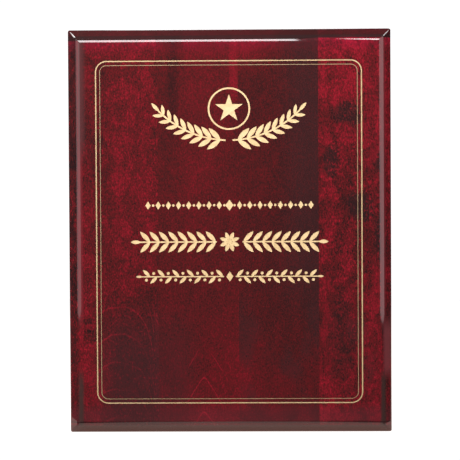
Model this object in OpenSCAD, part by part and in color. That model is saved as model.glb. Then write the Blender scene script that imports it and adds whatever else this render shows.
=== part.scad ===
// Wall plaque: four edge-glued staves with a bevelled front, gold-filled engraving
// and keyhole hangers let into the back. The origin is the centre of the wooden back
// face, -Y faces the reader and +Z is up when the plaque hangs upright.

/* [Board] */
// Width of the board, across the grain
board_w = 203.2; // [195:0.1:215]
// Height of the board, along the grain
board_h = 254; // [245:0.1:300]
// Thickness of the board
board_t = 19; // [17:0.5:25]
// Width of the left-hand stave
first_stave_w = 56.8; // [54:0.1:58]
// Width of a full stave
stave_w = 50.4; // [48:0.1:52]

/* [Edges] */
// Width and depth of the 45 degree bevel round the front
bevel = 6; // [4:0.1:7]
// Radius where the front face rolls over into the bevel
arris_r = 5; // [2:0.1:6]
// Radius where the bevel meets the sides
rim_r = 1.2; // [0.5:0.1:2]
// Radius of the long edges round the back
back_r = 0.8; // [0.4:0.1:1.5]
// Radius of the four outside corners, seen from the front
corner_r = 1.6; // [1:0.1:3]

/* [Gold lines] */
// Distance from the board's sides to the middle of the outer line
side_margin = 18.2; // [15:0.1:20]
// Distance from the board's ends to the middle of the outer line
end_margin = 19.5; // [15:0.1:21]
// How far the border sits to the right of the board's middle
border_shift_x = -0.3; // [-1:0.1:1]
// How far the border sits above the board's middle
border_shift_z = -0.5; // [-1:0.1:1]
// Width of the outer line
outer_line_w = 0.75; // [0.6:0.05:1.2]
// Width of the inner line
inner_line_w = 0.4; // [0.3:0.05:0.8]
// Distance between the middles of the two lines
line_gap = 2.6; // [2:0.1:4]
// Corner radius of the outer line
border_r = 6.8; // [5:0.1:9]
// Depth of all the engraving
engraving_depth = 0.5; // [0.3:0.05:0.8]
// Thickness of the gold fill on the floor of the engraving
fill_t = 0.4; // [0.2:0.05:0.75]

/* [Emblem] */
// Height of the emblem's star above the middle of the board
star_z = 77; // [72:0.5:82]
// Outer radius of the star
star_r = 9.2; // [7:0.1:10]
// Radius of the ring round the star
ring_r = 12.8; // [11.5:0.1:13.5]
// Width of the ring and of the laurel stems
emblem_line_w = 1.1; // [0.8:0.05:1.4]
// Radius that the laurel stems are bent to
branch_r = 62; // [58:0.5:68]
// Leaf pairs on each laurel branch
branch_pairs = 8; // [6:1:8]
// Length of the largest laurel leaf
leaf_l = 10.4; // [8:0.1:11]

/* [Ornament rows] */
// Height of the middle of the upper, lozenge row
upper_row_z = 16.4; // [14:0.2:18]
// Lozenges in the upper row
lozenges = 17; // [9:2:19]
// Distance between lozenges
lozenge_pitch = 6.4; // [5.5:0.1:6.5]
// Height of the middle of the main, laurel row
main_row_z = -6.6; // [-10:0.2:-6]
// Leaf pairs on each side of the main row's rosette
main_pairs = 8; // [5:1:8]
// Distance between the main row's leaf pairs
main_pitch = 5.9; // [5.5:0.1:6]
// Height of the middle of the lower, vine row
lower_row_z = -28.4; // [-34:0.2:-26]
// Leaves on each side of the lower row's lozenge
lower_leaves = 11; // [5:1:11]
// Distance between the lower row's leaves
lower_pitch = 4.6; // [4:0.1:4.8]

/* [Keyhole hangers] */
// Length of a hanger plate
plate_l = 44; // [42:0.5:50]
// Width of a hanger plate
plate_w = 16; // [15:0.5:18]
// Thickness of a hanger plate
plate_t = 1.2; // [1:0.1:2]
// Radius of the round hole that a wall screw's head enters
entry_r = 4.5; // [4:0.1:5]
// Width of the slot that the wall screw's shank slides up
slot_w = 4.6; // [4.2:0.1:5]
// Distance from the entry hole's centre to the slot's far end
slot_reach = 11; // [9:0.5:12]
// Depth of the pocket behind a hanger plate, from the board's back face
pocket_depth = 9; // [7:0.5:10]
// Height of the upright hanger's middle above the middle of the board
upright_plate_z = 92; // [80:1:96]
// Distance of the sideways hanger's middle from the middle of the board
sideways_plate_x = 73; // [70:0.5:75]

/* [Hidden] */

// Colours
stain_red = [0.36, 0.10, 0.13];
stain_plum = [0.28, 0.10, 0.12];
gold = [0.87, 0.72, 0.44];
plated_steel = [0.80, 0.68, 0.42];

// Steps in each rounded edge's arc
arc_steps = 6;
turn = tan(22.5);
past = 1;
hole_fn = 48;

// X of each glue joint, from the left edge to the right edge
joint_x = [
  -board_w / 2,
  -board_w / 2 + first_stave_w,
  -board_w / 2 + first_stave_w + stave_w,
  -board_w / 2 + first_stave_w + 2 * stave_w,
  board_w / 2
];

// Screws that hold the hanger plates
screw_r = 1.4;
screw_head_r = 2.8;
screw_l = 11;
screw_clearance = 0.1;
screw_tip_l = 2;
screw_tip_r = 0.2;
screw_inset = 5;
screw_spacing = plate_l - 2 * screw_inset;
pilot_spare_l = 0.5;

// Room round a hanger
plate_corner_r = 5;
plate_fit = 0.1;
pocket_w = 2 * entry_r + 3;
pocket_l = slot_reach + 2 * entry_r + 2;
pocket_corner_r = pocket_w / 2 - 0.5;
entry_offset = slot_reach / 2;

// Leaves, whose widths are shares of their lengths
leaf_splay = 40;
leaf_slimness = 0.31;
leaf_taper = 0.36;
end_leaf = 0.7;

// Laurel branches, whose angles are measured round the branch from its lowest point
branch_drop = 7;
branch_foot = 2;
branch_start = 5;
branch_step = 5.2;
branch_spare = 0.2;
end_leaf_back = 0.6;
end_leaf_turn = 3;

// Upper row
lozenge_size = [3.4, 5.2];
middle_lozenge_size = [5, 7];
bead_r = 0.8;

// Main row
rosette_petals = 8;
rosette_r = 7;
rosette_hub_r = 1.5;
petal_overlap = 0.5;
petal_slimness = 0.46;
rosette_gap = 1.6;
main_leaf_l = 9.2;
main_stem_w = 1;
main_splay = 46;
main_end_leaf_w = 2.4;

// Lower row
lower_lozenge_size = [4.4, 6.4];
lower_row_start = 4.2;
lower_leaf_l = 6.2;
lower_leaf_w = 2.2;
lower_end_leaf_w = 1.5;
lower_stem_w = 0.8;
lower_splay = 44;
berry_r = 0.95;
berry_rise = 2.1;

// How far a row's stem runs back towards its middle, and how far into its end leaf
stem_back = 0.5;
stem_on = 1;

// ---------- flat shapes ----------

function arc(centre, r, from, to) =
  [for (i = [0:arc_steps]) let (a = from + (to - from) * i / arc_steps)
    centre + r * [cos(a), sin(a)]];

// One edge of the board's section, from the back round to the front face
function edge_points(half) = concat(
  arc([half - back_r, -back_r], back_r, 90, 0),
  arc([half - rim_r, -(board_t - bevel) + rim_r * turn], rim_r, 0, -45),
  arc([half - bevel - arris_r * turn, -board_t + arris_r], arris_r, -45, -90)
);

function mirrored(points) =
  [for (i = [len(points) - 1:-1:0]) [-points[i][0], points[i][1]]];

module section(half) {
  polygon(concat(edge_points(half), mirrored(edge_points(half))));
}

function round_rect_points(w, h, r) = concat(
  arc([w / 2 - r, h / 2 - r], r, 0, 90),
  arc([r - w / 2, h / 2 - r], r, 90, 180),
  arc([r - w / 2, r - h / 2], r, 180, 270),
  arc([w / 2 - r, r - h / 2], r, 270, 360)
);

// Rectangle with truly round corners
module round_rect(w, h, r) {
  square([w - 2 * r, h], center = true);
  square([w, h - 2 * r], center = true);
  for (x = [-1, 1], y = [-1, 1])
    translate([x * (w / 2 - r), y * (h / 2 - r)]) circle(r, $fn = hole_fn);
}

module border_line(inset, line_w) {
  w = board_w - 2 * (side_margin + inset);
  h = board_h - 2 * (end_margin + inset);
  r = border_r - inset;
  translate([border_shift_x, border_shift_z]) difference() {
    round_rect(w + line_w, h + line_w, r + line_w / 2);
    round_rect(w - line_w, h - line_w, r - line_w / 2);
  }
}

// Leaf with its foot at the origin, pointing along X
module leaf(l, w) {
  r = (l * l + w * w) / (4 * w);
  translate([l / 2, 0]) intersection() {
    translate([0, r - w / 2]) circle(r, $fn = hole_fn);
    translate([0, w / 2 - r]) circle(r, $fn = hole_fn);
  }
}

// Part of a ring, from one angle to another that is less than half a turn on
module ring_part(r, line_w, from, to) {
  far = 2 * r;
  intersection() {
    difference() {
      circle(r + line_w / 2, $fn = hole_fn);
      circle(r - line_w / 2, $fn = hole_fn);
    }
    polygon([
      [0, 0],
      far * [cos(from), sin(from)],
      far * [cos((from + to) / 2), sin((from + to) / 2)],
      far * [cos(to), sin(to)]
    ]);
  }
}

module star(r) {
  inner = r * sin(18) / sin(54);
  polygon([for (i = [0:9]) let (a = 90 + 36 * i) (i % 2 == 0 ? r : inner) * [cos(a), sin(a)]]);
}

module ring(r, line_w) {
  difference() {
    circle(r + line_w / 2, $fn = hole_fn);
    circle(r - line_w / 2, $fn = hole_fn);
  }
}

// Two leaves that spread from one point on a stem that runs along X
module leaf_pair(l, splay) {
  for (side = [-1, 1]) rotate(side * splay) leaf(l, l * leaf_slimness);
}

// Right-hand laurel branch, which sweeps out and up from below the ring
module laurel_branch() {
  tip = branch_start + branch_step * (branch_pairs - branch_spare);
  end_leaf_l = leaf_l * end_leaf;
  translate([0, star_z - ring_r - branch_drop + branch_r]) {
    ring_part(branch_r, emblem_line_w, branch_foot - 90, tip - 90);
    for (i = [0:branch_pairs - 1])
      rotate(branch_start + branch_step * i - 90) translate([branch_r, 0])
        rotate(90) leaf_pair(leaf_l * (1 - leaf_taper * i / branch_pairs), leaf_splay);
    rotate(tip - end_leaf_back - 90) translate([branch_r, 0])
      rotate(90 + end_leaf_turn) leaf(end_leaf_l, end_leaf_l * leaf_slimness);
  }
}

module lozenge(size) {
  w = size[0];
  h = size[1];
  polygon([[w / 2, 0], [0, h / 2], [-w / 2, 0], [0, -h / 2]]);
}

// Lozenges with a bead between each two
module lozenge_row() {
  translate([0, upper_row_z]) for (i = [0:lozenges - 1]) {
    from_middle = i - (lozenges - 1) / 2;
    translate([from_middle * lozenge_pitch, 0]) {
      lozenge(from_middle == 0 ? middle_lozenge_size : lozenge_size);
      if (i > 0) translate([-lozenge_pitch / 2, 0]) circle(bead_r, $fn = hole_fn);
    }
  }
}

module rosette() {
  petal_l = rosette_r - rosette_hub_r;
  circle(rosette_hub_r, $fn = hole_fn);
  for (i = [0:rosette_petals - 1])
    rotate(360 / rosette_petals * (i + 0.5)) translate([rosette_hub_r - petal_overlap, 0])
      leaf(petal_l, petal_l * petal_slimness);
}

// Straight stem of a row's sprig, from near the row's middle into the leaf at its end
module stem(l, w) {
  translate([-stem_back, -w / 2]) square([l + stem_back + stem_on, w]);
}

// Straight laurel sprigs to the left and right of a rosette
module laurel_row() {
  translate([0, main_row_z]) {
    rosette();
    for (side = [0, 1]) mirror([side, 0]) translate([rosette_r + rosette_gap, 0]) {
      stem(main_pairs * main_pitch, main_stem_w);
      for (i = [0:main_pairs - 1]) translate([i * main_pitch, 0]) leaf_pair(main_leaf_l, main_splay);
      translate([main_pairs * main_pitch, 0]) leaf(end_leaf * main_leaf_l, main_end_leaf_w);
    }
  }
}

// Stems with leaves on alternate sides, a berry across from each leaf, round a lozenge
module vine_row() {
  translate([0, lower_row_z]) {
    lozenge(lower_lozenge_size);
    for (side = [0, 1]) mirror([side, 0]) translate([lower_row_start, 0]) {
      stem(lower_leaves * lower_pitch, lower_stem_w);
      for (i = [0:lower_leaves - 1]) translate([i * lower_pitch, 0]) {
        up = i % 2 == 0 ? 1 : -1;
        rotate(up * lower_splay) leaf(lower_leaf_l, lower_leaf_w);
        translate([lower_pitch / 2, -up * berry_rise]) circle(berry_r, $fn = hole_fn);
      }
      translate([lower_leaves * lower_pitch, 0]) leaf(end_leaf * lower_leaf_l, lower_end_leaf_w);
    }
  }
}

// ---------- placing on the board ----------

// Stands a flat shape up in the engraving, from the engraving's floor outwards
module in_front(thickness) {
  translate([0, engraving_depth - board_t, 0]) rotate([90, 0, 0])
    linear_extrude(thickness) children();
}

module gold_fill() {
  color(gold) in_front(fill_t) children();
}

module engraving() {
  in_front(engraving_depth + past) {
    border_line(0, outer_line_w);
    border_line(line_gap, inner_line_w);
    translate([0, star_z]) star(star_r);
    translate([0, star_z]) ring(ring_r, emblem_line_w);
    laurel_branch();
    mirror([1, 0]) laurel_branch();
    lozenge_row();
    laurel_row();
    vine_row();
  }
}

// Puts a hanger's parts at both places: upright, and turned a quarter turn for landscape
module at_upright() {
  translate([0, 0, upright_plate_z]) children();
}

module at_sideways() {
  translate([-sideways_plate_x, 0, 0]) rotate([0, -90, 0]) children();
}

// Extrudes a flat shape forwards from the back face, starting some way in
module from_back(start, thickness) {
  translate([0, -start, 0]) rotate([90, 0, 0]) linear_extrude(thickness) children();
}

module plate_outline(grow) {
  round_rect(plate_w + 2 * grow, plate_l + 2 * grow, plate_corner_r + grow);
}

module keyhole_outline() {
  translate([0, -entry_offset]) circle(entry_r, $fn = hole_fn);
  translate([-slot_w / 2, -entry_offset]) square([slot_w, slot_reach - slot_w / 2]);
  translate([0, slot_reach - entry_offset - slot_w / 2]) circle(slot_w / 2, $fn = hole_fn);
}

// Space that a hanger takes out of the board: a seat for the plate and a pocket for the head
module hanger_space() {
  from_back(-past, plate_t + past) plate_outline(plate_fit);
  from_back(plate_t / 2, pocket_depth - plate_t / 2)
    round_rect(pocket_w, pocket_l, pocket_corner_r);
  for (side = [-1, 1]) translate([0, 0, side * screw_spacing / 2]) rotate([90, 0, 0])
    cylinder(r = screw_r + screw_clearance, h = screw_l + pilot_spare_l, $fn = hole_fn);
}

module hanger_plate() {
  color(plated_steel) difference() {
    from_back(0, plate_t) plate_outline(0);
    from_back(-past, plate_t + 2 * past) keyhole_outline();
    for (side = [-1, 1]) translate([0, 0, side * screw_spacing / 2]) {
      translate([0, past, 0]) rotate([90, 0, 0])
        cylinder(r = screw_r + screw_clearance, h = plate_t + 2 * past, $fn = hole_fn);
      rotate([90, 0, 0]) cylinder(
        r1 = screw_head_r + screw_clearance, r2 = screw_r + screw_clearance,
        h = screw_head_r - screw_r, $fn = hole_fn);
    }
  }
}

// Countersunk screw with its head flush with the plate
module plate_screw() {
  color(plated_steel) rotate([90, 0, 0]) {
    cylinder(r1 = screw_head_r, r2 = screw_r, h = screw_head_r - screw_r, $fn = hole_fn);
    cylinder(r = screw_r, h = screw_l - screw_tip_l, $fn = hole_fn);
    translate([0, 0, screw_l - screw_tip_l])
      cylinder(r1 = screw_r, r2 = screw_tip_r, h = screw_tip_l, $fn = hole_fn);
  }
}

module hanger_screws() {
  for (side = [-1, 1]) {
    at_upright() translate([0, 0, side * screw_spacing / 2]) plate_screw();
    at_sideways() translate([0, 0, side * screw_spacing / 2]) plate_screw();
  }
}

// ---------- the board ----------

module board() {
  intersection() {
    linear_extrude(board_h, center = true) section(board_w / 2);
    rotate([0, -90, 0]) linear_extrude(board_w, center = true) section(board_h / 2);
    rotate([90, 0, 0]) linear_extrude(board_t) polygon(round_rect_points(board_w, board_h, corner_r));
  }
}

module stave(i) {
  color(i % 3 == 0 ? stain_red : stain_plum) difference() {
    intersection() {
      board();
      translate([joint_x[i], -board_t - past, -board_h / 2 - past])
        cube([joint_x[i + 1] - joint_x[i], board_t + 2 * past, board_h + 2 * past]);
    }
    engraving();
    at_upright() hanger_space();
    at_sideways() hanger_space();
  }
}

stave(0);  // stave_left
stave(1);  // stave_centre_left
stave(2);  // stave_centre_right
stave(3);  // stave_right
gold_fill() border_line(0, outer_line_w);  // border_line_outer
gold_fill() border_line(line_gap, inner_line_w);  // border_line_inner
gold_fill() translate([0, star_z]) star(star_r);  // emblem_star
gold_fill() translate([0, star_z]) ring(ring_r, emblem_line_w);  // emblem_ring
gold_fill() mirror([1, 0]) laurel_branch();  // laurel_left
gold_fill() laurel_branch();  // laurel_right
gold_fill() lozenge_row();  // ornament_row_upper
gold_fill() laurel_row();  // ornament_row_main
gold_fill() vine_row();  // ornament_row_lower
at_upright() hanger_plate();  // hanger_plate_upright
at_sideways() hanger_plate();  // hanger_plate_sideways
hanger_screws();
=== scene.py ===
"""Lacquered rosewood wall plaque: looks, hardware detail and studio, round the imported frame."""

import math
from typing import NamedTuple

import bmesh
import bpy
from bpy.props import FloatProperty, FloatVectorProperty, IntProperty, PointerProperty
from mathutils import Matrix, Vector


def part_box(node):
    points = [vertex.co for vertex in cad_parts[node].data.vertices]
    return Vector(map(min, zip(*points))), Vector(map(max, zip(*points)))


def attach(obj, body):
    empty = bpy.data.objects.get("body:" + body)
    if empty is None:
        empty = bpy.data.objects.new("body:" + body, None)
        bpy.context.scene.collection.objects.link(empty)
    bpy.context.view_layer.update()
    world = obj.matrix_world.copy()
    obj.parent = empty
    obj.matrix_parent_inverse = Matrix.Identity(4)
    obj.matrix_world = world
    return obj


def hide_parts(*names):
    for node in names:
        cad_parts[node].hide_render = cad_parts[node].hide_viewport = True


bl_info = {
    "name": "Lacquered Wall Plaque",
    "version": (1, 0, 0),
    "blender": (4, 5, 0),
    "location": "3D View > Sidebar > Plaque",
    "description": "Lacquered staves, gold fill, keyhole hangers and studio of a wall plaque",
    "category": "Object",
}

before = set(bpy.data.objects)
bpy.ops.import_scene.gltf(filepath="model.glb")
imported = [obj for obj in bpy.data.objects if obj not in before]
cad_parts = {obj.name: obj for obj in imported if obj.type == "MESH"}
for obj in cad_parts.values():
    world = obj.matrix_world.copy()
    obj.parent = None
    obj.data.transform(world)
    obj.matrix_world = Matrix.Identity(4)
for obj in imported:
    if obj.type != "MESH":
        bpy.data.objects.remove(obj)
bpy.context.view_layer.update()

MM = 0.001
BODY = "root"
STAVE_NODES = ("stave_left", "stave_centre_left", "stave_centre_right", "stave_right")
GOLD_NODES = (
    "border_line_outer",
    "border_line_inner",
    "emblem_star",
    "emblem_ring",
    "laurel_left",
    "laurel_right",
    "ornament_row_upper",
    "ornament_row_main",
    "ornament_row_lower",
)
PLATE_NODES = ("hanger_plate_upright", "hanger_plate_sideways")
SCREW_NODE = "hanger_screws"

BOARD_LOW = Vector(min(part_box(node)[0][axis] for node in STAVE_NODES) for axis in range(3))
BOARD_HIGH = Vector(max(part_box(node)[1][axis] for node in STAVE_NODES) for axis in range(3))
HALF_WIDTH = (BOARD_HIGH.x - BOARD_LOW.x) / 2
HALF_HEIGHT = (BOARD_HIGH.z - BOARD_LOW.z) / 2

# The ways that the board's flat faces look: front, back, sides, ends and bevels
BOARD_DIRECTIONS = [
    Vector(direction).normalized()
    for direction in (
        (0, -1, 0), (0, 1, 0), (1, 0, 0), (-1, 0, 0), (0, 0, 1), (0, 0, -1),
        (1, -1, 0), (-1, -1, 0), (0, -1, 1), (0, -1, -1),
    )
]


# ---------- settings ----------


def colour_setting(name, description, default):
    return FloatVectorProperty(
        name=name, description=description, default=default, min=0, max=1, subtype="COLOR"
    )


def length_setting(name, description, default, least, most):
    return FloatProperty(
        name=name,
        description=description,
        default=default,
        min=least,
        max=most,
        precision=4,
        unit="LENGTH",
    )


class PlaqueBoardSettings(bpy.types.PropertyGroup):
    bevel: length_setting(
        name="Bevel",
        description="Width and depth of the 45 degree bevel round the front",
        default=6 * MM,
        least=3 * MM,
        most=7 * MM,
    )
    arris_radius: length_setting(
        name="Arris radius",
        description="Radius where the front face rolls over into the bevel",
        default=5 * MM,
        least=1 * MM,
        most=6 * MM,
    )
    arris_steps: IntProperty(
        name="Arris steps",
        description="Faces across the rounded arris",
        default=14,
        min=4,
        max=24,
    )
    rim_radius: length_setting(
        name="Rim radius",
        description="Radius of the mitres, the rim, the corners and the back edges",
        default=1.1 * MM,
        least=0.4 * MM,
        most=2 * MM,
    )
    pocket_depth: length_setting(
        name="Pocket depth",
        description="Depth of the routed pocket behind a hanger plate, from the back face",
        default=9 * MM,
        least=7 * MM,
        most=10 * MM,
    )


class PlaqueWoodSettings(bpy.types.PropertyGroup):
    shadow_tone: colour_setting(
        name="Darkest grain",
        description="Stained wood in the darkest grain",
        default=(0.0078, 0.0042, 0.0046),
    )
    low_tone: colour_setting(
        name="Dark grain",
        description="Stained wood in the dark grain",
        default=(0.026, 0.0054, 0.0057),
    )
    body_tone: colour_setting(
        name="Body",
        description="Stained wood over most of the face",
        default=(0.048, 0.0053, 0.0060),
    )
    red_tone: colour_setting(
        name="Red grain",
        description="Stained wood in the red flecks",
        default=(0.092, 0.0050, 0.0082),
    )
    bright_tone: colour_setting(
        name="Brightest grain",
        description="Stained wood in the brightest streaks",
        default=(0.17, 0.0066, 0.0128),
    )
    cloud_tone: colour_setting(
        name="Cloud",
        description="Blue-grey clouds in the stain",
        default=(0.025, 0.0085, 0.0092),
    )
    end_grain_tone: colour_setting(
        name="End grain",
        description="Stained end grain on the top and bottom edges",
        default=(0.031, 0.0080, 0.0080),
    )
    raw_tone: colour_setting(
        name="Raw wood",
        description="Unstained wood inside the routed pockets",
        default=(0.38, 0.23, 0.13),
    )
    lacquer_roughness: FloatProperty(
        name="Lacquer roughness",
        description="Roughness of the clear lacquer",
        default=0.035,
        min=0,
        max=0.5,
    )


class PlaqueGoldSettings(bpy.types.PropertyGroup):
    pale_tone: colour_setting(
        name="Gold",
        description="Gold enamel in the engraving",
        default=(0.47, 0.335, 0.175),
    )
    deep_tone: colour_setting(
        name="Deep gold",
        description="Gold enamel where it lies thin",
        default=(0.36, 0.235, 0.105),
    )
    border_fullness: FloatProperty(
        name="Border fullness",
        description="How bright the enamel is in the outer border line, beside the rest",
        default=0.74,
        min=0.2,
        max=1,
    )
    hairline_fullness: FloatProperty(
        name="Hairline fullness",
        description="How bright the enamel is in the thin inner border line, beside the rest",
        default=0.5,
        min=0.2,
        max=1,
    )


class PlaqueHardwareSettings(bpy.types.PropertyGroup):
    plate_tone: colour_setting(
        name="Plating",
        description="Brass plating on the hanger plates and screws",
        default=(0.80, 0.62, 0.30),
    )
    screw_inset: length_setting(
        name="Screw inset",
        description="Distance of a screw from the end of its hanger plate",
        default=5 * MM,
        least=3 * MM,
        most=8 * MM,
    )
    head_radius: length_setting(
        name="Head radius",
        description="Radius of a screw's countersunk head",
        default=2.8 * MM,
        least=2 * MM,
        most=4 * MM,
    )
    shank_radius: length_setting(
        name="Shank radius",
        description="Radius of a screw's shank",
        default=1.4 * MM,
        least=1 * MM,
        most=2 * MM,
    )
    screw_length: length_setting(
        name="Screw length",
        description="Length of a screw, from its head's face to its tip",
        default=11 * MM,
        least=8 * MM,
        most=14 * MM,
    )


class PlaqueStudioSettings(bpy.types.PropertyGroup):
    camera_distance: length_setting(
        name="Camera distance",
        description="Distance from the camera to the middle of the plaque",
        default=1.5,
        least=0.5,
        most=5,
    )
    camera_azimuth: FloatProperty(
        name="Camera azimuth",
        description="How far the camera stands to the right of straight on",
        default=math.radians(1.7),
        subtype="ANGLE",
    )
    camera_elevation: FloatProperty(
        name="Camera elevation",
        description="How far the camera stands above straight on",
        default=math.radians(1.7),
        subtype="ANGLE",
    )
    camera_roll: FloatProperty(
        name="Camera roll",
        description="How far the camera is turned round its own axis",
        default=math.radians(-0.32),
        subtype="ANGLE",
    )
    aim_height: length_setting(
        name="Aim height",
        description="How far above the middle of the plaque the camera aims",
        default=0.5 * MM,
        least=-100 * MM,
        most=100 * MM,
    )
    view_width: length_setting(
        name="View width",
        description="Width that the camera sees in the plane of the plaque",
        default=0.2908,
        least=0.2,
        most=1,
    )
    floor_tone: colour_setting(
        name="Floor",
        description="Colour of the pale floor",
        default=(0.15, 0.15, 0.15),
    )
    bounce_tone: colour_setting(
        name="Floor bounce",
        description="Colour of the floor as the lacquer mirrors it",
        default=(0.95, 0.60, 0.48),
    )


# ---------- shader maths ----------


class Wire:
    """A shader node's output. An expression on it adds the Math nodes that work it out."""

    def __init__(self, finish, socket):
        self.finish = finish
        self.socket = socket

    def _math(self, operation, *values):
        return self.finish.add("ShaderNodeMath", {"operation": operation}, dict(enumerate(values)))

    def __add__(self, other):
        return self._math("ADD", self, other)

    __radd__ = __add__

    def __sub__(self, other):
        return self._math("SUBTRACT", self, other)

    def __rsub__(self, other):
        return self._math("SUBTRACT", other, self)

    def __mul__(self, other):
        return self._math("MULTIPLY", self, other)

    __rmul__ = __mul__

    def __truediv__(self, other):
        return self._math("DIVIDE", self, other)

    def __abs__(self):
        return self._math("ABSOLUTE", self)

    def lesser(self, other):
        return self._math("MINIMUM", self, other)

    def greater(self, other):
        return self._math("MAXIMUM", self, other)

    def fraction(self):
        return self._math("FRACT", self)

    def root(self):
        return self._math("SQRT", self)


class Finish:
    """A material whose nodes are made by expressions."""

    def __init__(self, name):
        self.material = bpy.data.materials.new(name)
        self.material.use_nodes = True
        self.nodes = self.material.node_tree.nodes
        self.links = self.material.node_tree.links
        self.surface = self.nodes["Principled BSDF"]

    def add(self, kind, settings, sockets, output=0):
        """Adds a node. The settings are made first, and a ramp's stops are one of them."""
        node = self.nodes.new(kind)
        for name, value in settings.items():
            if name == "stops":
                fill_ramp(node.color_ramp, value)
            else:
                setattr(node, name, value)
        for key, value in sockets.items():
            if isinstance(value, Wire):
                self.links.new(value.socket, node.inputs[key])
            else:
                node.inputs[key].default_value = value
        return Wire(self, node.outputs[output])

    def place(self):
        """Object coordinates in millimetres."""
        metres = self.add("ShaderNodeTexCoord", {}, {}, "Object")
        return self.shade(metres, 1 / MM)

    def axes(self, vector):
        """The three numbers of a vector."""
        node = self.add("ShaderNodeSeparateXYZ", {}, {0: vector}).socket.node
        return tuple(Wire(self, socket) for socket in node.outputs)

    def grain(self, place, size, offset=(0, 0, 0), detail=3.0, roughness=0.5, distortion=0.0):
        """Noise from 0 to 1. Its blobs are about as long on each axis as size, in millimetres."""
        scale = tuple(1 / length for length in size)
        vector = self.add(
            "ShaderNodeMapping", {}, {"Vector": place, "Location": offset, "Scale": scale}
        )
        return self.add(
            "ShaderNodeTexNoise",
            {},
            {
                "Vector": vector,
                "Scale": 1.0,
                "Detail": detail,
                "Roughness": roughness,
                "Distortion": distortion,
            },
        )

    def fade(self, value, start, end):
        """Rises smoothly from 0 at start to 1 at end, which may be the lower of the two."""
        return self.add(
            "ShaderNodeMapRange",
            {"interpolation_type": "SMOOTHSTEP"},
            {0: value, 1: start, 2: end, 3: 0.0, 4: 1.0},
        )

    def band(self, value, low, high, soft):
        """1 between low and high, and 0 beyond, with soft edges."""
        return self.fade(value, low - soft, low + soft) * self.fade(value, high + soft, high - soft)

    def ramp(self, value, stops):
        return self.add("ShaderNodeValToRGB", {"stops": stops}, {0: value})

    def mix(self, amount, first, second):
        """Goes from the first colour to the second as amount goes from 0 to 1."""
        colours = [value if isinstance(value, Wire) else opaque(value) for value in (first, second)]
        return self.add(
            "ShaderNodeMix", {"data_type": "RGBA"}, {0: amount, 6: colours[0], 7: colours[1]}, 2
        )

    def shade(self, colour, amount):
        """A colour, or any other vector, times a number."""
        value = colour if isinstance(colour, Wire) else tuple(colour)[:3]
        return self.add(
            "ShaderNodeVectorMath", {"operation": "SCALE"}, {0: value, "Scale": amount}
        )

    def bump(self, height, depth):
        """Normals over a height from 0 to 1 that stands for a depth in metres."""
        return self.add(
            "ShaderNodeBump", {}, {"Height": height, "Distance": depth, "Strength": 1.0}
        )

    def finish(self, uniform, varying):
        """Sets the shader's plain values and links what changes over the surface."""
        for name, value in uniform.items():
            self.surface.inputs[name].default_value = value
        for name, value in varying.items():
            self.links.new(value.socket, self.surface.inputs[name])
        return self.material


def fill_ramp(ramp, stops):
    """Gives a colour ramp its stops, each a position and a colour."""
    for position, _ in stops[2:]:
        ramp.elements.new(position)
    for element, (position, colour) in zip(ramp.elements, stops):
        element.position = position
        element.color = opaque(colour)


def opaque(colour):
    return (*tuple(colour)[:3], 1.0)


# ---------- wood ----------


class WoodTraits(NamedTuple):
    """How a stave's wood differs from the others'.

    offset is where its noise is read, tone is how red and light it is, and drift is how its
    tone changes towards its right edge. speckle, flecks and mottle are the strengths of its
    fine, middling and broad variation, and calm takes flecks off its foot.
    """

    offset: tuple
    tone: float
    drift: float
    speckle: float
    flecks: float
    mottle: float
    calm: float


STAVE_WOOD = {
    "stave_left": WoodTraits((3.1, 0.0, 7.7), 0.455, -0.02, 1.05, 0.30, 0.16, 0.0),
    "stave_centre_left": WoodTraits((11.4, 2.0, 1.9), 0.425, 0.0, 0.88, 0.11, 0.07, 0.0),
    "stave_centre_right": WoodTraits((23.8, 5.0, 4.2), 0.37, -0.07, 0.85, 0.10, 0.08, 0.0),
    "stave_right": WoodTraits((37.5, 8.0, 9.4), 0.46, 0.0, 1.05, 0.48, 0.26, 0.5),
}
# Half a full stave's width in millimetres, over which the drift is counted
HALF_STAVE = 25

# Colours painted in for light on the lacquer: reflected tints along the top and the foot, a
# highlight and a dark reflection on the long arrises, a reflected haze beside the left arris, a
# reflection on the right bevel, and dark reflected lines along the top and foot arrises
PAINTED_TOP_REFLECTION_TINT = (0.14, 0.0040, 0.026)
PAINTED_FOOT_HAZE = (0.060, 0.0115, 0.0150)
PAINTED_ARRIS_HIGHLIGHT = (0.088, 0.0105, 0.0135)
PAINTED_ARRIS_DARK_REFLECTION = (0.026, 0.0145, 0.013)
PAINTED_MARGIN_HAZE = (0.044, 0.0150, 0.0158)
PAINTED_BEVEL_REFLECTION = (0.115, 0.026, 0.030)
PAINTED_DARK_ARRIS_LINE = (0.012, 0.006, 0.006)


class Oval(NamedTuple):
    """A dark knot or stain: its middle and its half sizes in millimetres, and its strength."""

    x: float
    z: float
    half_width: float
    half_height: float
    strength: float = 1.0


LEFT_STAVE_KNOTS = (Oval(-89.5, -56.5, 3.4, 2.4), Oval(-88.5, -65.5, 4.2, 4.4))
RIGHT_STAVE_STAINS = (
    Oval(73, 72, 10, 7),
    Oval(62, 46, 5, 8),
    Oval(80, 17, 8, 8),
    Oval(93, -2, 4, 14),
    Oval(93, 44, 4, 8),
    Oval(68, -66, 9, 22, 0.45),
)


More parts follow.
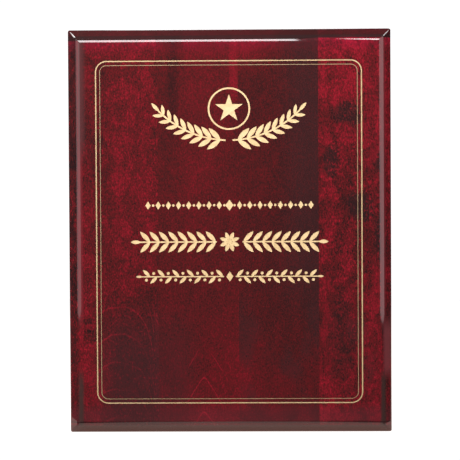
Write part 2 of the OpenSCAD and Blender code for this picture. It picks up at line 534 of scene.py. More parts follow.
class StaveGrain:
    """A stave's places in millimetres, and the noise that its figure is drawn with."""

    def __init__(self, finish, offset):
        self.finish = finish
        self.offset = offset
        self.place = finish.place()
        self.x, self.y, self.z = finish.axes(self.place)
        self.from_side = HALF_WIDTH / MM - abs(self.x)
        self.from_top = HALF_HEIGHT / MM - self.z
        self.from_foot = HALF_HEIGHT / MM + self.z
        self.left_half = finish.fade(self.x, 20, -20)
        self.right_half = finish.fade(self.x, -20, 20)

        self.fibre = self.noise((0.9, 0.9, 13), detail=4, roughness=0.62)
        self.fine = self.noise((0.8, 0.8, 1.2), detail=2, roughness=0.6)
        self.drift = self.noise((26, 26, 75), detail=2)
        self.wobble = self.noise((17, 17, 34), detail=2)
        flecks = self.noise((1.0, 1.0, 2.0), detail=3, roughness=0.65)
        self.fleck = finish.fade(flecks, 0.50, 0.66)
        self.dark_fleck = finish.fade(flecks, 0.48, 0.32)
        mottle = self.noise((8, 8, 12), detail=6, roughness=0.7, distortion=0.6)
        self.patch = finish.fade(mottle, 0.40, 0.62)

    def noise(self, size, **kind):
        return self.finish.grain(self.place, size, self.offset, **kind)


def growth_arches(finish, grain):
    """Thin arched growth lines low on the left stave, whose right legs run down its joint."""
    middle, half_span, spacing = -70, 26.5, 17.5
    reach = ((grain.x - middle) / half_span).greater(-0.45).lesser(0.985)
    across = reach * reach
    room = 1.06 - across
    rise = grain.z + 19 * across / room + 7 * grain.wobble
    steepness = abs(reach) / (room * room)
    step = abs((rise / spacing).fraction() - 0.5) * 2
    line = finish.fade(step, (0.10 + 0.05 * steepness).lesser(0.5), 0.0)
    return line * finish.fade(grain.z, -36, -58) * finish.band(grain.x, -82, -41, 3)


def growth_tents(finish, grain):
    """Two pointed growth lines at the foot of the centre-left stave."""
    middle, slope, spacing = -16.5, 1.75, 21
    away = ((grain.x - middle) * (grain.x - middle) + 3).root()
    rise = grain.z + slope * away + 5 * grain.wobble
    step = abs((rise / spacing + 0.62).fraction() - 0.5) * 2
    line = finish.fade(step, 0.09, 0.0)
    return line * finish.fade(grain.z, -70, -82) * finish.fade(away, 14, 8)


def dark_ovals(finish, x, z, ovals):
    """A mask of knots or stains, each 1 in its middle and fading out at its rim."""
    masks = []
    for oval in ovals:
        across = (x - oval.x) / oval.half_width
        along = (z - oval.z) / oval.half_height
        masks.append(oval.strength * finish.fade(across * across + along * along, 1.7, 0.2))
    return sum(masks[1:], masks[0])


def left_stave_figure(finish, grain):
    """Tone to add, and the strength of the clouds, on the left stave."""
    x, z = grain.x, grain.z
    red_band = finish.band(x, -76, -47, 7) * finish.fade(z, -45, 0)
    margin_red = finish.fade(x, -82, -90) * finish.band(z, -82, -20, 10) * grain.fleck
    dark_corner = finish.fade(x, -70, -84) * finish.fade(z, 20, 70)
    tone = 0.09 * red_band + 0.2 * margin_red + 0.38 * growth_arches(finish, grain)
    tone = tone - 0.08 * dark_corner - 0.3 * dark_ovals(finish, x, z, LEFT_STAVE_KNOTS)
    clouds = finish.fade(z + 26 * grain.wobble, -20, -70) * finish.band(x, -80, -30, 12)
    return tone, clouds * 0.85


def centre_left_stave_figure(finish, grain):
    """Tone to add, and the strength of the clouds, on the centre-left stave."""
    x, z = grain.x, grain.z
    dark_streak = finish.band(x + 2 * grain.wobble, -37, -31, 2.5) * finish.fade(z, 45, 70)
    red_streak = finish.band(x, 0.5, 6, 1.6) * finish.fade(z, 72, 92)
    upper_red = finish.band(x, -30, -8, 8) * finish.fade(z, 50, 100)
    tone = 0.2 * red_streak + 0.05 * upper_red - 0.15 * dark_streak
    clouds = finish.fade(z + 30 * grain.wobble, -20, -70) * finish.fade(x, -14, -34)
    return tone + 0.34 * growth_tents(finish, grain), clouds * 0.5


def centre_right_stave_figure(finish, grain):
    """Tone to add, and the strength of the clouds, on the centre-right stave."""
    x, z = grain.x, grain.z
    foot = finish.fade(z, -60, -110)
    low_edge = finish.fade(z, -40, -95) * finish.fade(x, 30, 56)
    head = finish.fade(z, 92, 118) * finish.fade(x, 40, 12)
    tone = 0.05 * foot + 0.06 * low_edge + 0.2 * head - 0.05
    edge_clouds = finish.fade(x + 10 * grain.wobble, 30, 52) * finish.fade(z, -70, -20)
    low_clouds = finish.fade(grain.wobble, 0.42, 0.62) * finish.fade(z, -30, -60)
    return tone, edge_clouds * 0.55 + low_clouds * 0.5


def right_stave_figure(finish, grain):
    """Tone to add, and the strength of the clouds, on the right stave."""
    x, z, wobble = grain.x, grain.z, grain.wobble
    upper = finish.fade(z, 10, 60)
    streak = finish.band(x + 3 * wobble, 60, 68, 3) * finish.fade(z, 40, 8)
    joint_line = finish.fade(x, 58.4, 57.2) * finish.fade(z, -50, -90)
    ragged_x = x + 14 * (grain.fleck - 0.3) * wobble
    ragged_z = z + 22 * (wobble - 0.5)
    stains = dark_ovals(finish, ragged_x, ragged_z, RIGHT_STAVE_STAINS).lesser(1.0)
    tone = 0.09 * upper + 0.1 * streak + 0.13 * joint_line - 0.3 * stains
    clouds = finish.fade(wobble, 0.56, 0.7) * finish.fade(z, -30, -60)
    return tone, clouds * 0.4 + 0.35 * stains


STAVE_FIGURES = {
    "stave_left": left_stave_figure,
    "stave_centre_left": centre_left_stave_figure,
    "stave_centre_right": centre_right_stave_figure,
    "stave_right": right_stave_figure,
}


def ground_tone(finish, grain, stave):
    """A stave's tone before its own figure: its level, drift, fibres, flecks and mottling."""
    traits = STAVE_WOOD[stave]
    low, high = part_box(stave)
    middle_x = (low.x + high.x) / 2 / MM
    tone = traits.tone + traits.drift * (grain.x - middle_x) / HALF_STAVE
    tone = tone + 0.14 * (grain.fibre - 0.5) + traits.speckle * (grain.fine - 0.5)
    tone = tone + 0.24 * (grain.drift - 0.5) + traits.mottle * (grain.patch - 0.55)
    light_flecks = grain.fleck * (0.45 + 0.55 * grain.patch)
    dark_flecks = 0.6 * grain.dark_fleck * (1 - grain.patch * 0.5)
    strength = traits.flecks * (1 - traits.calm * finish.fade(grain.z, -10, -60))
    return tone + strength * (light_flecks - dark_flecks)


def painted_edge_tone(finish, grain, painted_top_reflection):
    """Tone to add near the board's edges and on the side bevels: painted light and painted shade.
    """
    # Painted light: the right bevel's upper part, the margins and the foot are lightened
    painted_right_bevel_light = finish.fade(grain.x, 95, 97) * finish.fade(grain.z, -70, -30)
    nearest_edge = grain.from_side.lesser(grain.from_top).lesser(grain.from_foot)
    painted_margin_light = finish.fade(nearest_edge, 20, 14)
    painted_foot_light = finish.fade(grain.z, -40, -100)
    # Painted shade: the side bevels are darkened, more on the left and in patches there
    patchy = grain.left_half * finish.band(grain.z, -45, 55, 15) * (1 - grain.patch)
    painted_bevel_shade = finish.fade(grain.from_side, 6.8, 5.6) * (0.13 + 0.07 * grain.left_half)
    painted_light = 0.15 * painted_top_reflection + 0.16 * painted_right_bevel_light + 0.04 * painted_margin_light + 0.08 * painted_foot_light
    return painted_light - painted_bevel_shade * (1 + 0.7 * patchy)


def painted_arris_reflections(finish, grain, colour):
    """Painted highlight on the long arrises, a painted dark reflection along their lowest stretch,
    a painted haze beside the left arris and a painted reflection on the right bevel.
    """
    from_side, z, right = grain.from_side, grain.z, grain.right_half
    arris = finish.band(from_side + 2.2 * right, 6.0, 9.0, 0.9)
    # Painted highlight: the long arrises are reddened and lightened above their lowest stretch
    arris_highlight = arris * finish.fade(z, -66, -48)
    colour = finish.mix(arris_highlight * 0.85, colour, PAINTED_ARRIS_HIGHLIGHT)
    # Painted dark reflection along the arrises' lowest stretch
    arris_dark_reflection = arris * finish.fade(z, -84, -97)
    colour = finish.mix(arris_dark_reflection * 0.9, colour, PAINTED_ARRIS_DARK_REFLECTION)
    # Painted haze of reflected light on the face beside the left arris, high up
    beside_arris = finish.fade(from_side, 6.2, 7.4) * finish.fade(from_side, 12.5, 8.5)
    painted_haze = beside_arris * (1 - right) * finish.fade(z, 38, 62)
    colour = finish.mix(painted_haze * 0.85, colour, PAINTED_MARGIN_HAZE)
    # Painted reflection low on the right bevel
    bevel_reflection = finish.band(from_side, 0.8, 5.0, 1.2) * right * finish.band(z, -90, -58, 6)
    return finish.mix(bevel_reflection * 0.75, colour, PAINTED_BEVEL_REFLECTION)


def end_grain(finish, grain, colour, tone):
    """End grain on the top and bottom edges, with painted shade on the top one, and painted dark
    reflected lines along their bevels' upper edges.
    """
    speckle = grain.noise((1.0, 1.0, 1.0), detail=3, roughness=0.7)
    # Painted shade: the top edge's end grain is darker than the foot's, more so to the right
    darker = finish.fade(grain.z, -20, 20) * (0.36 + 0.12 * finish.fade(grain.x, -60, 80))
    end_colour = finish.shade(tone, (0.6 + 0.8 * speckle) * (1.0 - darker))
    ends = finish.fade(grain.from_top.lesser(grain.from_foot), 5.0, 4.2)
    colour = finish.mix(ends * 0.9, colour, end_colour)
    # Painted dark reflected lines along the top and foot arrises, wider under the top highlight
    dark_line_width = 6.0 + 0.9 * finish.fade(grain.x, 58, 40)
    top_dark_line = finish.band(grain.from_top, 4.1, dark_line_width, 0.35)
    foot_dark_line = 0.7 * finish.band(grain.from_foot, 6.1, 7.1, 0.35)
    return finish.mix((top_dark_line + foot_dark_line).lesser(1.0) * 0.92, colour, PAINTED_DARK_ARRIS_LINE)


def hanger_room(finish, grain, board):
    """A mask that is 1 in the wood behind the hanger plates."""
    margin, soft = 0.4, 0.05
    masks = []
    for node in PLATE_NODES:
        low, high = (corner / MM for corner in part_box(node))
        across = finish.band(grain.x, low.x - margin, high.x + margin, soft)
        along = finish.band(grain.z, low.z - margin, high.z + margin, soft)
        masks.append(across * along)
    depth = finish.band(grain.y, -board.pocket_depth / MM - 3, -0.3, soft)
    return (masks[0] + masks[1]) * depth


def rosewood(stave, wood, board):
    """Rosewood-red stain on close-grained wood, under heavy clear lacquer, with light and
    reflections painted near its edges.
    """
    finish = Finish("Rosewood " + stave.replace("stave_", "").replace("_", " "))
    grain = StaveGrain(finish, STAVE_WOOD[stave].offset)
    figure, clouds = STAVE_FIGURES[stave](finish, grain)
    # Painted reflection: the top margin is lightened, and tinted below
    painted_top_reflection = finish.fade(grain.from_top, 17, 6) * (0.7 + 0.6 * (grain.patch - 0.5))
    # The tone includes painted light and shade near the board's edges
    colour = finish.ramp(
        ground_tone(finish, grain, stave) + figure + painted_edge_tone(finish, grain, painted_top_reflection),
        (
            (0.0, wood.shadow_tone),
            (0.26, wood.low_tone),
            (0.46, wood.body_tone),
            (0.68, wood.red_tone),
            (1.0, wood.bright_tone),
        ),
    )
    # Painted reflection: a magenta tint along the top margin
    colour = finish.mix(painted_top_reflection * 0.2, colour, PAINTED_TOP_REFLECTION_TINT)
    # Painted reflection: a haze of the pale floor along the foot margin
    colour = finish.mix(finish.fade(grain.from_foot, 20, 12) * 0.4, colour, PAINTED_FOOT_HAZE)
    colour = finish.mix(clouds * (0.55 + 0.45 * (1 - grain.fleck)), colour, wood.cloud_tone)
    # Painted highlights and reflections on the arrises and the right bevel
    colour = painted_arris_reflections(finish, grain, colour)
    # End grain, with painted shade on the top edge and painted dark reflected lines
    colour = end_grain(finish, grain, colour, wood.end_grain_tone)

    # Raw wood where the hangers are let in
    bare = hanger_room(finish, grain, board)
    raw_grain = grain.noise((0.5, 0.5, 6), detail=3)
    colour = finish.mix(bare, colour, finish.shade(wood.raw_tone, 0.75 + 0.5 * raw_grain))

    # The lacquer is sprayed on the front and the edges, and thin on the back
    back = finish.fade(grain.y, -0.35, -0.05)
    pores = finish.fade(grain.noise((0.35, 0.35, 3.2), detail=2), 0.60, 0.74)
    texture = 0.5 + 0.3 * (grain.fibre - 0.5) - 0.5 * pores
    height = texture * (0.25 + 0.75 * back.greater(bare))
    return finish.finish(
        {
            "IOR": 1.5,
            "Specular IOR Level": 0.0,
            "Coat Roughness": wood.lacquer_roughness,
            "Coat IOR": 1.5,
        },
        {
            "Base Color": colour,
            "Roughness": 0.42 + 0.12 * (1 - grain.fibre) + 0.2 * bare,
            "Coat Weight": (1 - 0.85 * back) * (1 - bare),
            "Normal": finish.bump(height, 0.05 * MM),
        },
    )


# ---------- other finishes ----------

# What tarnish leaves of the plating's red, green and blue
TARNISH_SHARES = (0.52, 0.48, 0.42)


def gold_enamel(gold, name, fullness):
    """Pale gold enamel wiped into the engraving, uneven, and darker where less fills it."""
    finish = Finish(name)
    place = finish.place()
    body = finish.grain(place, (2.2, 2.2, 2.2), detail=3)
    flake = finish.grain(place, (0.22, 0.22, 0.22), offset=(5, 5, 5), detail=2, roughness=0.7)
    thin = finish.fade(body, 0.62, 0.36)
    colour = finish.mix(thin * 0.5, gold.pale_tone, gold.deep_tone)
    colour = finish.shade(colour, (0.9 + 0.2 * flake) * fullness)
    return finish.finish(
        {"IOR": 1.5, "Specular IOR Level": 0.4},
        {
            "Base Color": colour,
            "Metallic": 0.1 + 0.25 * finish.fade(flake, 0.5, 0.7),
            "Roughness": 0.42 + 0.16 * body,
            "Normal": finish.bump(0.6 * flake + 0.4 * body, 0.03 * MM),
        },
    )


def plated_steel(hardware, name, brushed_along_z):
    """Brass-plated steel with fine brush lines, dulled where hands and tools have touched it."""
    finish = Finish(name)
    place = finish.place()
    size = (0.12, 0.12, 14) if brushed_along_z else (14, 0.12, 0.12)
    brush = finish.grain(place, size, detail=3, roughness=0.7)
    dull = finish.grain(place, (5, 5, 5), offset=(2, 7, 1), detail=3)
    speck = finish.fade(finish.grain(place, (0.6, 0.6, 0.6), detail=2), 0.64, 0.74)
    tarnish = finish.fade(dull, 0.45, 0.85)
    dark = tuple(channel * share for channel, share in zip(hardware.plate_tone, TARNISH_SHARES))
    colour = finish.mix(tarnish * 0.5 + speck * 0.3, hardware.plate_tone, dark)
    return finish.finish(
        {},
        {
            "Base Color": colour,
            "Metallic": 1 - 0.15 * speck,
            "Roughness": 0.22 + 0.18 * brush + 0.2 * tarnish,
            "Normal": finish.bump(brush, 0.012 * MM),
        },
    )


# ---------- mesh work ----------

# Places nearer to each other than this count as the same
TOUCHING = 0.1 * MM

# A face is flat if its normal is within FLAT_ANGLE of a flat direction. Faces on two sides of a
# mitre both lean off the board's front, and the ways that they lean are well apart.
FLAT_ANGLE = math.radians(0.6)
LEAST_LEAN = 0.02
MITRE_COSINE = 0.3

# How far cutters stand out of the board, and the shapes of the hangers' woodwork
FRONT_OVERRUN = 1.5 * MM
BACK_OVERRUN = 1 * MM
SEAT_FIT = 0.1 * MM
SEAT_CORNER = 5.1 * MM
POCKET_HALF_WIDTH = 6 * MM
POCKET_HALF_LENGTH = 11 * MM
POCKET_CORNER = 5.5 * MM
PILOT_FIT = 0.1 * MM
PILOT_OVERRUN = 0.5 * MM

# A screw's turned shape. The root is a share of the shank's radius, and the crest's place is
# a share of the pitch.
HEAD_EDGE_WIDTH = 0.15 * MM
HEAD_EDGE_DEPTH = 0.12 * MM
THREAD_PITCH = 0.9 * MM
THREAD_ROOT = 0.72
THREAD_CREST = 0.45
PLAIN_SHANK = 0.6 * MM
UNTHREADED = 2.2 * MM
POINT_LENGTH = 1.6 * MM
POINT_RADIUS = 0.15 * MM

# A cross recess, in shares of the head's radius, how much its floor narrows, and how far each
# screw is turned past the one before it
RECESS_DEPTH = 0.55
RECESS_LENGTH = 1.2
RECESS_WIDTH = 0.3
RECESS_TAPER = 0.55
SCREW_TURN = 0.7


def new_piece(name, bm, slot, *replaced):
    """Turns a bmesh into a piece that rides on the plaque."""
    piece = new_object(name, bm)
    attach(piece, BODY)
    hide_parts(*replaced)
    return piece


def new_object(name, bm):
    mesh = bpy.data.meshes.new(name)
    bm.to_mesh(mesh)
    bm.free()
    made = bpy.data.objects.new(name, mesh)
    bpy.context.scene.collection.objects.link(made)
    return made


def drop(made):
    mesh = made.data
    bpy.data.objects.remove(made)
    bpy.data.meshes.remove(mesh)


def set_finish(piece, material):
    piece.data.materials.clear()
    piece.data.materials.append(material)


def cut(piece, cutters):
    """Takes the cutters' shapes out of a piece and keeps the result as its mesh."""
    for cutter in cutters:
        boolean = piece.modifiers.new(cutter.name, "BOOLEAN")
        boolean.operation = "DIFFERENCE"
        boolean.solver = "EXACT"
        boolean.object = cutter
    settled = bpy.data.meshes.new_from_object(
        piece.evaluated_get(bpy.context.evaluated_depsgraph_get())
    )
    piece.modifiers.clear()
    rough = piece.data
    settled.name = piece.name
    piece.data = settled
    bpy.data.meshes.remove(rough)


def across_mitre(face, other):
    """True if two faces lean off the board's front in directions well apart."""
    lean, other_lean = face.normal.xz, other.normal.xz
    if min(lean.length, other_lean.length) <= LEAST_LEAN:
        return False
    return lean.dot(other_lean) < MITRE_COSINE * lean.length * other_lean.length


def shade_roundings(piece, flat_directions, crisp_angle):
    """Keeps flat faces flat, and runs the roundings between them smoothly into both."""
    mesh = piece.data
    mesh.shade_smooth()
    flat_cosine, crisp_cosine = math.cos(FLAT_ANGLE), math.cos(crisp_angle)
    flat = [
        any(face.normal.dot(direction) > flat_cosine for direction in flat_directions)
        for face in mesh.polygons
    ]
    around_vertex = [[] for _ in mesh.vertices]
    for face in mesh.polygons:
        for vertex in face.vertices:
            around_vertex[vertex].append(face)

    def corner_normal(face, vertex):
        if flat[face.index]:
            return face.normal
        near = [
            other
            for other in around_vertex[vertex]
            if face.normal.dot(other.normal) > crisp_cosine and not across_mitre(face, other)
        ]
        anchors = [other for other in near if flat[other.index]]
        if anchors:
            return max(anchors, key=lambda other: face.normal.dot(other.normal)).normal
        return sum((other.normal for other in near), Vector()).normalized()

    mesh.normals_split_custom_set(
        [tuple(corner_normal(face, vertex)) for face in mesh.polygons for vertex in face.vertices]
    )


def block(bm, low, high):
    """A box between two corners. Returns its vertices."""
    verts = bmesh.ops.create_cube(bm, size=1)["verts"]
    bmesh.ops.scale(bm, verts=verts, vec=high - low)
    bmesh.ops.translate(bm, verts=verts, vec=(low + high) / 2)
    return verts


def rounded_block(bm, low, high, radius):
    """A box whose four edges along Y are rounded."""
    verts = block(bm, low, high)
    along_y = [
        edge
        for edge in {edge for vert in verts for edge in vert.link_edges}
        if abs((edge.verts[0].co - edge.verts[1].co).normalized().y) > 0.9
    ]
    bevel(bm, along_y, radius, 10)


def bevel(bm, edges, offset, segments):
    bmesh.ops.bevel(
        bm,
        geom=edges,
        offset=offset,
        offset_type="OFFSET",
        segments=segments,
        profile=0.5,
        affect="EDGES",
        material=-1,
        clamp_overlap=True,
    )


def front_edges(bm):
    """The edges round the board's front face."""
    bm.normal_update()
    front = next(face for face in bm.faces if face.normal.y < -0.9998)
    return list(front.edges)


def board_blank(board):
    """The glued board before it is shown as staves: bevelled, with every edge rounded."""
    bm = bmesh.new()
    block(bm, BOARD_LOW, BOARD_HIGH)
    bevel(bm, front_edges(bm), board.bevel, 1)
    bevel(bm, front_edges(bm), board.arris_radius * math.tan(math.pi / 8), board.arris_steps)

    # The four bevels are the largest faces that slope at 45 degrees
    bm.normal_update()
    slopes = [face for face in bm.faces if abs(face.normal.y + math.sqrt(0.5)) < 0.02]
    slopes = sorted(slopes, key=lambda face: face.calc_area())[-4:]
    sides_and_back = [face for face in bm.faces if face.normal.y > -0.01]
    outer = {*slopes, *sides_and_back}
    corners = [
        edge
        for edge in bm.edges
        if len(edge.link_faces) == 2
        and all(face in outer for face in edge.link_faces)
        and edge.calc_face_angle() > math.radians(30)
    ]
    bevel(bm, corners, board.rim_radius, 4)
    return bm


def saw(blank, low_x, high_x):
    """A copy of the board between two glue joints, with its sawn faces closed."""
    bm = blank.copy()
    for at, outwards in ((low_x, -1), (high_x, 1)):
        if abs(abs(at) - HALF_WIDTH) < TOUCHING:
            continue
        cut_line = bmesh.ops.bisect_plane(
            bm,
            geom=list(bm.verts) + list(bm.edges) + list(bm.faces),
            plane_co=(at, 0, 0),
            plane_no=(outwards, 0, 0),
            clear_outer=True,
        )["geom_cut"]
        rim = [part for part in cut_line if isinstance(part, bmesh.types.BMEdge)]
        bmesh.ops.holes_fill(bm, edges=rim, sides=0)
    bmesh.ops.recalc_face_normals(bm, faces=bm.faces)
    return bm


def engraving_cutter():
    """The gold fills' outlines, from the floor of the engraving to in front of the board."""
    bm = bmesh.new()
    for node in GOLD_NODES:
        bm.from_mesh(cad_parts[node].data)
    bmesh.ops.remove_doubles(bm, verts=bm.verts, dist=0.002 * MM)
    fill_front = min(vert.co.y for vert in bm.verts)
    for vert in bm.verts:
        if vert.co.y < fill_front + TOUCHING:
            vert.co.y = BOARD_LOW.y - FRONT_OVERRUN
    return new_object("engraving cutter", bm)


def stands_upright(node):
    """True if a hanger plate is longer up and down than from side to side."""
    low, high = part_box(node)
    return high.z - low.z > high.x - low.x


def plate_places(hardware):
    """Each hanger plate's box, which way it lies, and its two screws' places on the back face."""
    for node in PLATE_NODES:
        low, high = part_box(node)
        middle = (low + high) / 2
        upright = stands_upright(node)
        reach = max(high.z - low.z, high.x - low.x) / 2 - hardware.screw_inset
        step = Vector((0, 0, reach)) if upright else Vector((reach, 0, 0))
        back = Vector((middle.x, BOARD_HIGH.y, middle.z))
        yield low, high, upright, (back - step, back + step)


def hanger_cutters(board, hardware):
    """Cutters for the plates' seats, the pockets behind them and the screws' pilot holes."""
    seats, pockets, pilots = bmesh.new(), bmesh.new(), bmesh.new()
    fit = Vector((SEAT_FIT, 0, SEAT_FIT))
    past = Vector((0, BACK_OVERRUN, 0))
    pilot_radius = hardware.shank_radius + PILOT_FIT
    pilot_length = hardware.screw_length + PILOT_OVERRUN
    for low, high, upright, screws in plate_places(hardware):
        rounded_block(seats, low - fit, high + fit + past, SEAT_CORNER)
        middle = (low + high) / 2
        across, along = POCKET_HALF_WIDTH, POCKET_HALF_LENGTH
        if not upright:
            across, along = along, across
        pocket_low = Vector((middle.x - across, -board.pocket_depth, middle.z - along))
        pocket_high = Vector((middle.x + across, 0, middle.z + along)) + past
        rounded_block(pockets, pocket_low, pocket_high, POCKET_CORNER)
        for screw in screws:
            turned = Matrix.Translation(screw - Vector((0, pilot_length / 2, 0)))
            bmesh.ops.create_cone(
                pilots,
                cap_ends=True,
                segments=32,
                radius1=pilot_radius,
                radius2=pilot_radius,
                depth=pilot_length,
                matrix=turned @ Matrix.Rotation(math.pi / 2, 4, "X"),
            )
    return [
        new_object("seat cutter", seats),
        new_object("pocket cutter", pockets),
        new_object("pilot cutter", pilots),
    ]


def screw_profile(hardware):
    """Half of a screw's section, from the middle of its head's face to its tip."""
    head, shank, length = hardware.head_radius, hardware.shank_radius, hardware.screw_length
    neck = head - shank
    root = shank * THREAD_ROOT
    profile = [(0, 0), (head - HEAD_EDGE_WIDTH, 0), (head, -HEAD_EDGE_DEPTH)]
    profile.append((shank * 1.05, -neck))
    for turn in range(int((length - neck - UNTHREADED) / THREAD_PITCH)):
        start = -neck - PLAIN_SHANK - turn * THREAD_PITCH
        profile += [(root, start), (shank, start - THREAD_PITCH * THREAD_CREST)]
    profile += [(root, -length + POINT_LENGTH), (POINT_RADIUS, -length), (0, -length)]
    return profile


def screw_solid(hardware):
    """A countersunk screw on the Y axis with its head's face at zero."""
    bm = bmesh.new()
    verts = [bm.verts.new((radius, y, 0)) for radius, y in screw_profile(hardware)]
    edges = [bm.edges.new(pair) for pair in zip(verts, verts[1:])]
    bmesh.ops.spin(
        bm,
        geom=verts + edges,
        cent=(0, 0, 0),
        axis=(0, 1, 0),
        angle=math.tau,
        steps=32,
        use_merge=True,
    )
    bmesh.ops.remove_doubles(bm, verts=bm.verts, dist=0.01 * MM)
    bmesh.ops.recalc_face_normals(bm, faces=bm.faces)
    return bm


def cross_recess(hardware):
    """Two tapered bars, which together cut a cross-shaped drive recess in a screw's head."""
    depth = hardware.head_radius * RECESS_DEPTH
    length = hardware.head_radius * RECESS_LENGTH
    width = hardware.head_radius * RECESS_WIDTH
    bars = []
    for name, size in (("recess bar", (length, width)), ("crossing bar", (width, length))):
        bm = bmesh.new()
        half = Vector((size[0] / 2, 0, size[1] / 2))
        verts = block(bm, -half - Vector((0, depth, 0)), half + Vector((0, 0.5 * MM, 0)))
        deep = [vert for vert in verts if vert.co.y < -depth / 2]
        bmesh.ops.scale(bm, verts=deep, vec=(RECESS_TAPER, 1, RECESS_TAPER))
        bars.append(new_object(name, bm))
    return bars


def turned_screws(hardware):
    """The four screws in their places, each turned a little further than the last."""
    screw = new_object("screw", screw_solid(hardware))
    bars = cross_recess(hardware)
    cut(screw, bars)
    screws = bmesh.new()
    places = [place for *_, pair in plate_places(hardware) for place in pair]
    for turn, place in enumerate(places, start=1):
        one = bmesh.new()
        one.from_mesh(screw.data)
        bmesh.ops.rotate(one, verts=one.verts, matrix=Matrix.Rotation(SCREW_TURN * turn, 3, "Y"))
        bmesh.ops.translate(one, verts=one.verts, vec=place)
        joined = bpy.data.meshes.new("one screw")
        one.to_mesh(joined)
        one.free()
        screws.from_mesh(joined)
        bpy.data.meshes.remove(joined)
    for made in (screw, *bars):
        drop(made)
    return screws


# ---------- operators ----------


class PLAQUE_OT_staves(bpy.types.Operator):
    """Build the four lacquered staves, with the engraving and the hangers' seats cut into them"""

    bl_idname = "plaque.staves"
    bl_label = "Lacquered staves"

    def execute(self, context):
        scene = context.scene
        board, wood, hardware = scene.plaque_board, scene.plaque_wood, scene.plaque_hardware
        blank = board_blank(board)
        cutters = [engraving_cutter()] + hanger_cutters(board, hardware)
        for node in STAVE_NODES:
            low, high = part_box(node)
            bm = saw(blank, low.x, high.x)
            piece = new_piece("lacquered_" + node, bm, "rosewood_lacquer", node)
            cut(piece, cutters)
            shade_roundings(piece, BOARD_DIRECTIONS, math.radians(32))
            set_finish(piece, rosewood(node, wood, board))
        for cutter in cutters:
            drop(cutter)
        blank.free()
        return {"FINISHED"}


class PLAQUE_OT_gold_fill(bpy.types.Operator):
    """Give the border lines, the emblem and the ornament rows their gold enamel"""

    bl_idname = "plaque.gold_fill"
    bl_label = "Gold fill"

    def execute(self, context):
        gold = context.scene.plaque_gold
        full = gold_enamel(gold, "Gold enamel", 1.0)
        borders = {
            "border_line_outer": gold_enamel(gold, "Border gold enamel", gold.border_fullness),
            "border_line_inner": gold_enamel(gold, "Hairline gold enamel", gold.hairline_fullness),
        }
        for node in GOLD_NODES:
            set_finish(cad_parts[node], borders.get(node, full))
        return {"FINISHED"}


class PLAQUE_OT_hangers(bpy.types.Operator):
    """Finish the keyhole hanger plates and build their countersunk screws"""

    bl_idname = "plaque.hangers"
    bl_label = "Keyhole hangers"

    def execute(self, context):
        hardware = context.scene.plaque_hardware
        for node in PLATE_NODES:
            upright = stands_upright(node)
            name = "Plated steel " + ("upright" if upright else "sideways")
            set_finish(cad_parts[node], plated_steel(hardware, name, upright))
        screws = turned_screws(hardware)
        piece = new_piece("countersunk_screws", screws, "plated_steel", SCREW_NODE)
        shade_roundings(piece, (Vector((0, 1, 0)),), math.radians(28))
        set_finish(piece, plated_steel(hardware, "Plated screws", True))
        return {"FINISHED"}


class PLAQUE_OT_studio(bpy.types.Operator):
    """Lay the pale floor, hang the soft lights and place the camera"""

    bl_idname = "plaque.studio"
    bl_label = "Studio"

    def execute(self, context):
        studio = context.scene.plaque_studio
        pale_floor(studio)
        white_surround(context.scene)
        for light in SOFT_LIGHTS:
            soft_light(*light)
        place_camera(context.scene, studio)
        context.scene.view_settings.view_transform = "Standard"
        context.scene.view_settings.look = "None"
        return {"FINISHED"}


# The floor's radius, how far it reaches in front of the plaque and how far under it it lies
FLOOR_RADIUS = 0.75
FLOOR_REACH = 11 * MM
FLOOR_GAP = 0.2 * MM

# How strongly the white surround lights the plaque, and how strongly the camera sees it
SURROUND_LIT = 0.03
SURROUND_SEEN = 1.1


def pale_floor(studio):
    """A round pale floor under the plaque."""
    bm = bmesh.new()
    bmesh.ops.create_circle(bm, cap_ends=True, segments=96, radius=FLOOR_RADIUS)
    middle_y = FLOOR_RADIUS + BOARD_LOW.y - FLOOR_REACH
    bmesh.ops.translate(bm, verts=bm.verts, vec=(0, middle_y, BOARD_LOW.z - FLOOR_GAP))
    floor = new_object("pale_floor", bm)
    finish = Finish("Pale floor")
    tone = finish.grain(finish.place(), (40, 40, 40), detail=2)
    seen = finish.add("ShaderNodeLightPath", {}, {}, "Is Camera Ray")
    floor.data.materials.append(
        finish.finish(
            {"Roughness": 0.8, "Emission Strength": 0.97},
            {
                "Base Color": finish.shade(studio.floor_tone, 0.98 + 0.04 * tone),
                "Emission Color": finish.mix(seen, studio.bounce_tone, (1, 1, 1)),
            },
        )
    )


def white_surround(scene):
    """White behind everything, and dim where it lights and is mirrored."""
    world = bpy.data.worlds.new("White surround")
    world.use_nodes = True
    scene.world = world
    nodes, links = world.node_tree.nodes, world.node_tree.links
    background = nodes["Background"]
    path = nodes.new("ShaderNodeLightPath")
    strength = nodes.new("ShaderNodeMapRange")
    strength.inputs["To Min"].default_value = SURROUND_LIT
    strength.inputs["To Max"].default_value = SURROUND_SEEN
    links.new(path.outputs["Is Camera Ray"], strength.inputs["Value"])
    links.new(strength.outputs["Result"], background.inputs["Strength"])
    background.inputs["Color"].default_value = (1, 1, 1, 1)


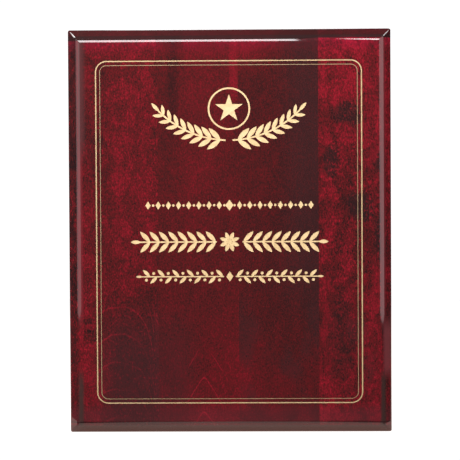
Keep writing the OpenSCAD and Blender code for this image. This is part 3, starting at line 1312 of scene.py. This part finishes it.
# Each soft light: name, azimuth and elevation it shines from, distance, width, height, brightness
# of its face and how far it is turned round its own axis
SOFT_LIGHTS = (
    ("key_softbox", -52, 46, 0.95, 0.6, 0.55, 18.5, 0),
    ("top_softbox", -7.7, 28.5, 0.95, 0.31, 0.46, 17.0, 4),
    ("top_corner_light", 8.8, 31, 0.95, 0.035, 0.36, 24.0, 4),
    ("right_softbox", 46, 42, 0.95, 0.5, 0.4, 7.5, 0),
    ("left_panel", -42, 6, 0.93, 0.88, 0.42, 1.5, 0),
    ("right_panel", 56, 6, 0.9, 1.0, 0.42, 2.0, 0),
    ("left_corner_light", -70, 40, 0.9, 0.3, 0.3, 8.0, 0),
    ("right_corner_light", 70, 40, 0.9, 0.3, 0.3, 11.0, 0),
    ("back_fill", 165, 35, 1.0, 0.8, 0.6, 4.0, 0),
)


def around(azimuth, elevation, distance):
    """A place round the plaque. Azimuth 0 is straight in front and 90 is to its right."""
    turn, rise = math.radians(azimuth), math.radians(elevation)
    return distance * Vector(
        (math.sin(turn) * math.cos(rise), -math.cos(turn) * math.cos(rise), math.sin(rise))
    )


def soft_light(name, azimuth, elevation, distance, width, height, brightness, roll):
    """A soft rectangular light that faces the plaque and that the camera doesn't see."""
    data = bpy.data.lights.new(name, "AREA")
    data.shape = "RECTANGLE"
    data.size, data.size_y = width, height
    data.energy = brightness * math.pi * width * height
    lamp = bpy.data.objects.new(name, data)
    bpy.context.scene.collection.objects.link(lamp)
    place = around(azimuth, elevation, distance)
    facing_plaque = (-place).to_track_quat("-Z", "Y").to_matrix().to_4x4()
    turned = Matrix.Rotation(math.radians(roll), 4, "Z")
    lamp.matrix_world = Matrix.Translation(place) @ facing_plaque @ turned
    lamp.visible_camera = False


def place_camera(scene, studio):
    """A long-lens camera, nearly straight on."""
    data = bpy.data.cameras.new("camera")
    data.lens = data.sensor_width * studio.camera_distance / studio.view_width
    camera = bpy.data.objects.new("camera", data)
    scene.collection.objects.link(camera)
    middle = (BOARD_LOW + BOARD_HIGH) / 2 + Vector((0, 0, studio.aim_height))
    azimuth, elevation = math.degrees(studio.camera_azimuth), math.degrees(studio.camera_elevation)
    back = around(azimuth, elevation, studio.camera_distance)
    aimed = (-back).to_track_quat("-Z", "Y").to_matrix().to_4x4()
    rolled = Matrix.Rotation(studio.camera_roll, 4, "Z")
    camera.matrix_world = Matrix.Translation(middle + back) @ aimed @ rolled
    data.clip_end = 20
    scene.camera = camera


class PLAQUE_PT_panel(bpy.types.Panel):
    """Settings and steps of the wall plaque"""

    bl_label = "Wall Plaque"
    bl_idname = "PLAQUE_PT_panel"
    bl_space_type = "VIEW_3D"
    bl_region_type = "UI"
    bl_category = "Plaque"

    def draw(self, context):
        for name, settings in SETTINGS.items():
            box = self.layout.box()
            group = getattr(context.scene, name)
            for setting in settings.__annotations__:
                box.prop(group, setting)
        for step in STEPS:
            self.layout.operator(step.bl_idname)


SETTINGS = {
    "plaque_board": PlaqueBoardSettings,
    "plaque_wood": PlaqueWoodSettings,
    "plaque_gold": PlaqueGoldSettings,
    "plaque_hardware": PlaqueHardwareSettings,
    "plaque_studio": PlaqueStudioSettings,
}
STEPS = (PLAQUE_OT_staves, PLAQUE_OT_gold_fill, PLAQUE_OT_hangers, PLAQUE_OT_studio)
CLASSES = (*SETTINGS.values(), *STEPS, PLAQUE_PT_panel)


def register():
    for cls in CLASSES:
        bpy.utils.register_class(cls)
    for name, settings in SETTINGS.items():
        setattr(bpy.types.Scene, name, PointerProperty(type=settings))


def unregister():
    for name in SETTINGS:
        delattr(bpy.types.Scene, name)
    for cls in reversed(CLASSES):
        bpy.utils.unregister_class(cls)


def main():
    register()
    bpy.ops.plaque.staves()
    bpy.ops.plaque.gold_fill()
    bpy.ops.plaque.hangers()
    bpy.ops.plaque.studio()


if __name__ == "__main__":
    main()
